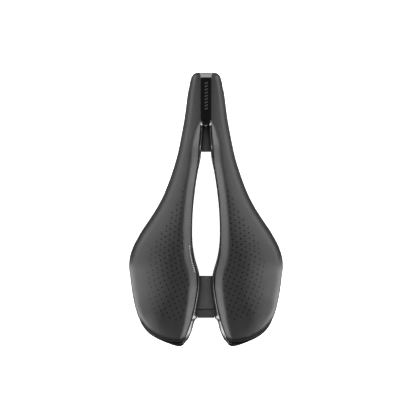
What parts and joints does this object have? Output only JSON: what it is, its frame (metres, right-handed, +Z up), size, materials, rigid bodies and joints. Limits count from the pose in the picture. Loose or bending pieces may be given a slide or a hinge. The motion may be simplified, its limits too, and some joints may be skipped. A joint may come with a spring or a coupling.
{
  "type": "bicycle saddle",
  "caption": "Short-nosed bicycle saddle with two padded halves split by a full-length relief channel, on a moulded base carried by two round rails.",
  "frame": {"origin": "middle of the straight clamp zone of the rails, midway between the two, at the height of their axes", "axes": "+Y towards the nose, +X to the rider's right, +Z up, away from the seatpost"},
  "size_m": [0.1448, 0.257, 0.0555],
  "materials": {
    "cover": "matte coated microfibre, perforated",
    "foam": "open-cell padding foam",
    "gel": "soft gel",
    "shell": "gloss black fibre-filled nylon",
    "gloss_trim": "high gloss black",
    "matte_trim": "fine textured black",
    "clip": "fine textured black",
    "rail": "dark satin tube",
    "fastener": "zinc-plated steel"
  },
  "bodies": {
    "saddle": {"base_shell": "shell", "foam_right": "foam", "foam_left": "foam", "gel_insert_right": "gel", "gel_insert_left": "gel", "cover_right": "cover", "cover_left": "cover", "nose_strip": "gloss_trim", "tail_guard_right": "gloss_trim", "tail_guard_left": "gloss_trim", "rail_right": "rail", "rail_left": "rail", "nose_rail_clip": "clip", "nose_clip_screws": "fastener", "rear_rail_clip_right": "clip", "rear_rail_clip_left": "clip", "rear_clip_screws_right": "fastener", "rear_clip_screws_left": "fastener", "accessory_mount": "matte_trim", "accessory_mount_screws": "fastener"},
    "accessory_cover": {"accessory_mount_cover": "matte_trim"}
  },
  "joints": [
    {"name": "accessory_cover_slide", "type": "slide", "parent": "saddle", "child": "accessory_cover", "axis": [0, -1, 0], "range_m": [0, 0.014]}
  ]
}
